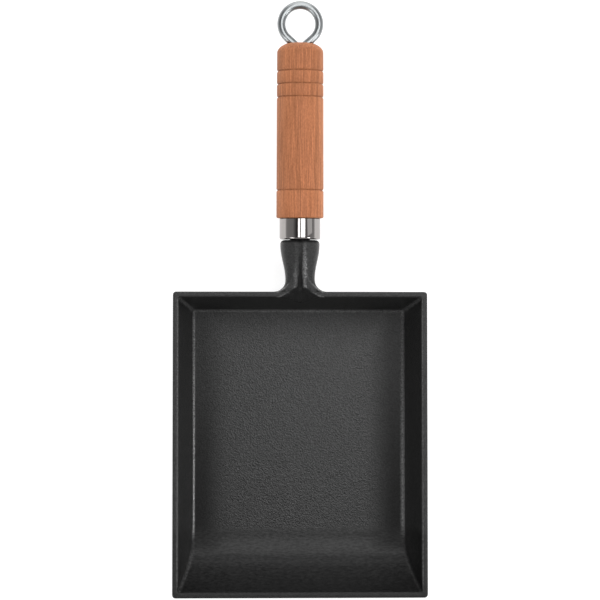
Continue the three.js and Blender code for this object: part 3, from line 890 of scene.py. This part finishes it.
def plating(name, marks, colour, roughness):
    """Plated steel with faint handling marks."""
    plate = Surface(name)
    plate.feed(Roughness=plate.spread(plate.noise(plate.place(), **marks), roughness))
    plate.set(Base_Color=(*colour, 1), Metallic=1.0)
    return plate.material


def chrome():
    """Bright plating, as on the drawn ferrule."""
    return plating("bright_chrome", CHROME_MARKS, CHROME_COLOUR, CHROME_ROUGHNESS)


def satin_plate():
    """Duller plating, as on bent rod."""
    return plating("satin_chrome", SATIN_MARKS, SATIN_COLOUR, SATIN_ROUGHNESS)


def zinc_steel():
    """Plain stamped steel with fine scuffs."""
    steel = Surface("zinc_steel")
    scuffs = steel.noise(steel.place(SCUFF_STRETCH), **SCUFFS)
    steel.feed(
        Base_Color=steel.ramp(scuffs, MOST_NOISE, ZINC_COLOURS),
        Roughness=steel.spread(scuffs, ZINC_ROUGHNESS),
        Normal=steel.bump(scuffs, SCUFF_HEIGHT, SCUFF_RELIEF),
    )
    steel.set(Metallic=1.0)
    return steel.material


# Stage, in metres
FIBRES = {"scale": 30, "detail": 2, "roughness": 0.5}
PAPER_TONES = (grey(0.35), grey(0.37))
PAPER_GLOW = 0.84
FLOOR_HALF = 12.0
FLOOR_DROP = 0.0003
LAMP_HEIGHT = 0.95
OVERHEAD_LAMPS = (
    ("left_panel", (-0.20, -0.01), (-0.06, 0.32), 3.2),
    ("right_panel", (0.08, 0.47), (-0.06, 0.32), 4.2),
    ("away_panel", (-0.20, 0.46), (0.32, 1.4), 2.3),
)
AIMED_LAMPS = (
    ("side_panel", (1.1, 0.3, 0.8), (0.5, 0.7), 0.5),
    ("key_lamp", (0.95, -0.40, 0.75), (0.35, 0.35), 10),
    ("fill_lamp", (-1.0, -0.7, 0.8), (0.6, 0.6), 4),
    ("back_panel", (0.0, 2.2, 0.7), (2.4, 1.4), 1.5),
)
SKY_STOPS = ((0.0, 1.0), (0.12, 0.42), (0.3, 0.36), (0.75, 0.32), (0.92, 0.06))

# Camera, in millimetres: the point below it, its target, its height over the rim and the frame's width
CAMERA_NADIR = Vector((-48, 24))
CAMERA_TARGET = Vector((-0.2, 88.1, PAN_HEIGHT))
CAMERA_HEIGHT = 1342
FRAME_WIDTH = 366
SENSOR_WIDTH = 36


def pale_floor():
    """White paper that glows a little, so that it stays white in the picture."""
    paper = Surface("pale_floor")
    paper.feed(Base_Color=paper.ramp(paper.noise(paper.place(), **FIBRES), MOST_NOISE, PAPER_TONES))
    paper.set(Roughness=0.9, Emission_Color=(1, 1, 1, 1), Emission_Strength=PAPER_GLOW)
    return paper.material


def add_floor():
    """A wide floor just below the pan's underside."""
    mesh = bpy.data.meshes.new("studio_floor")
    ends = (-FLOOR_HALF, FLOOR_HALF)
    mesh.from_pydata([(x, y, -FLOOR_DROP) for y in ends for x in ends], [], [(0, 1, 3, 2)])
    mesh.materials.append(pale_floor())
    add_object("studio_floor", mesh)


def add_lamp(name, centre, size, radiance):
    """A rectangular lamp that faces down and that the camera doesn't see."""
    data = bpy.data.lights.new(name, "AREA")
    data.shape = "RECTANGLE"
    data.size, data.size_y = size
    data.energy = math.pi * radiance * size[0] * size[1]
    lamp = add_object(name, data)
    lamp.location = centre
    lamp.visible_camera = False
    return lamp


def add_lights():
    """Panels overhead with a slit between the near ones, and lamps round about that are aimed at the pan."""
    for name, (left, right), (near, away), radiance in OVERHEAD_LAMPS:
        centre = ((left + right) / 2, (near + away) / 2, LAMP_HEIGHT)
        add_lamp(name, centre, (right - left, away - near), radiance)
    for name, centre, size, radiance in AIMED_LAMPS:
        lamp = add_lamp(name, centre, size, radiance)
        lamp.rotation_mode = "QUATERNION"
        lamp.rotation_quaternion = (-Vector(centre)).to_track_quat("-Z", "Y")


def add_sky():
    """A soft surround, dark overhead and lighter lower down."""
    world = bpy.data.worlds.new("studio_surround")
    world.use_nodes = True
    tree = world.node_tree
    coords = tree.nodes.new("ShaderNodeTexCoord")
    split = tree.nodes.new("ShaderNodeSeparateXYZ")
    ramp = tree.nodes.new("ShaderNodeValToRGB")
    elements = ramp.color_ramp.elements
    while len(elements) < len(SKY_STOPS):
        elements.new(0.5)
    for element, (place, level) in zip(elements, SKY_STOPS):
        element.position = place
        element.color = (*grey(level), 1)
    tree.links.new(coords.outputs["Generated"], split.inputs["Vector"])
    tree.links.new(split.outputs["Z"], ramp.inputs["Fac"])
    tree.links.new(ramp.outputs["Color"], tree.nodes["Background"].inputs["Color"])
    bpy.context.scene.world = world


def add_camera():
    """The photo's camera: high over the pan, with the handle pointing up in the picture."""
    data = bpy.data.cameras.new("photo_camera")
    camera = add_object("photo_camera", data)
    place = Vector((CAMERA_NADIR.x, CAMERA_NADIR.y, PAN_HEIGHT + CAMERA_HEIGHT))
    ahead = CAMERA_TARGET - place
    right = ahead.cross(Vector((0, 1, 0))).normalized()
    above = right.cross(ahead).normalized()
    turn = Matrix((right, above, -ahead.normalized())).transposed().to_4x4()
    camera.matrix_world = Matrix.Translation(place * MM) @ turn
    data.sensor_width = SENSOR_WIDTH
    data.lens = SENSOR_WIDTH * ahead.length / FRAME_WIDTH
    bpy.context.scene.camera = camera


def dress(mesh, node, body, material):
    """Puts a finished piece in the place of its solid."""
    piece = add_object(mesh.name, mesh)
    mesh.materials.clear()
    mesh.materials.append(material)
    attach(piece, body)
    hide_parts(node)


def build():
    """All five pieces on their stage."""
    dress(pan_casting(), "pan_casting", "pan", cast_iron())
    dress(ferrule(), "ferrule", "pan", chrome())
    dress(wooden_grip(), "wooden_grip", "pan", beech())
    dress(seat_washer(), "seat_washer", "washer", zinc_steel())
    dress(eye_bolt(), "eye_bolt", "eye", satin_plate())
    add_floor()
    add_lights()
    add_sky()
    add_camera()
    bpy.context.scene.view_settings.view_transform = "Standard"


build()
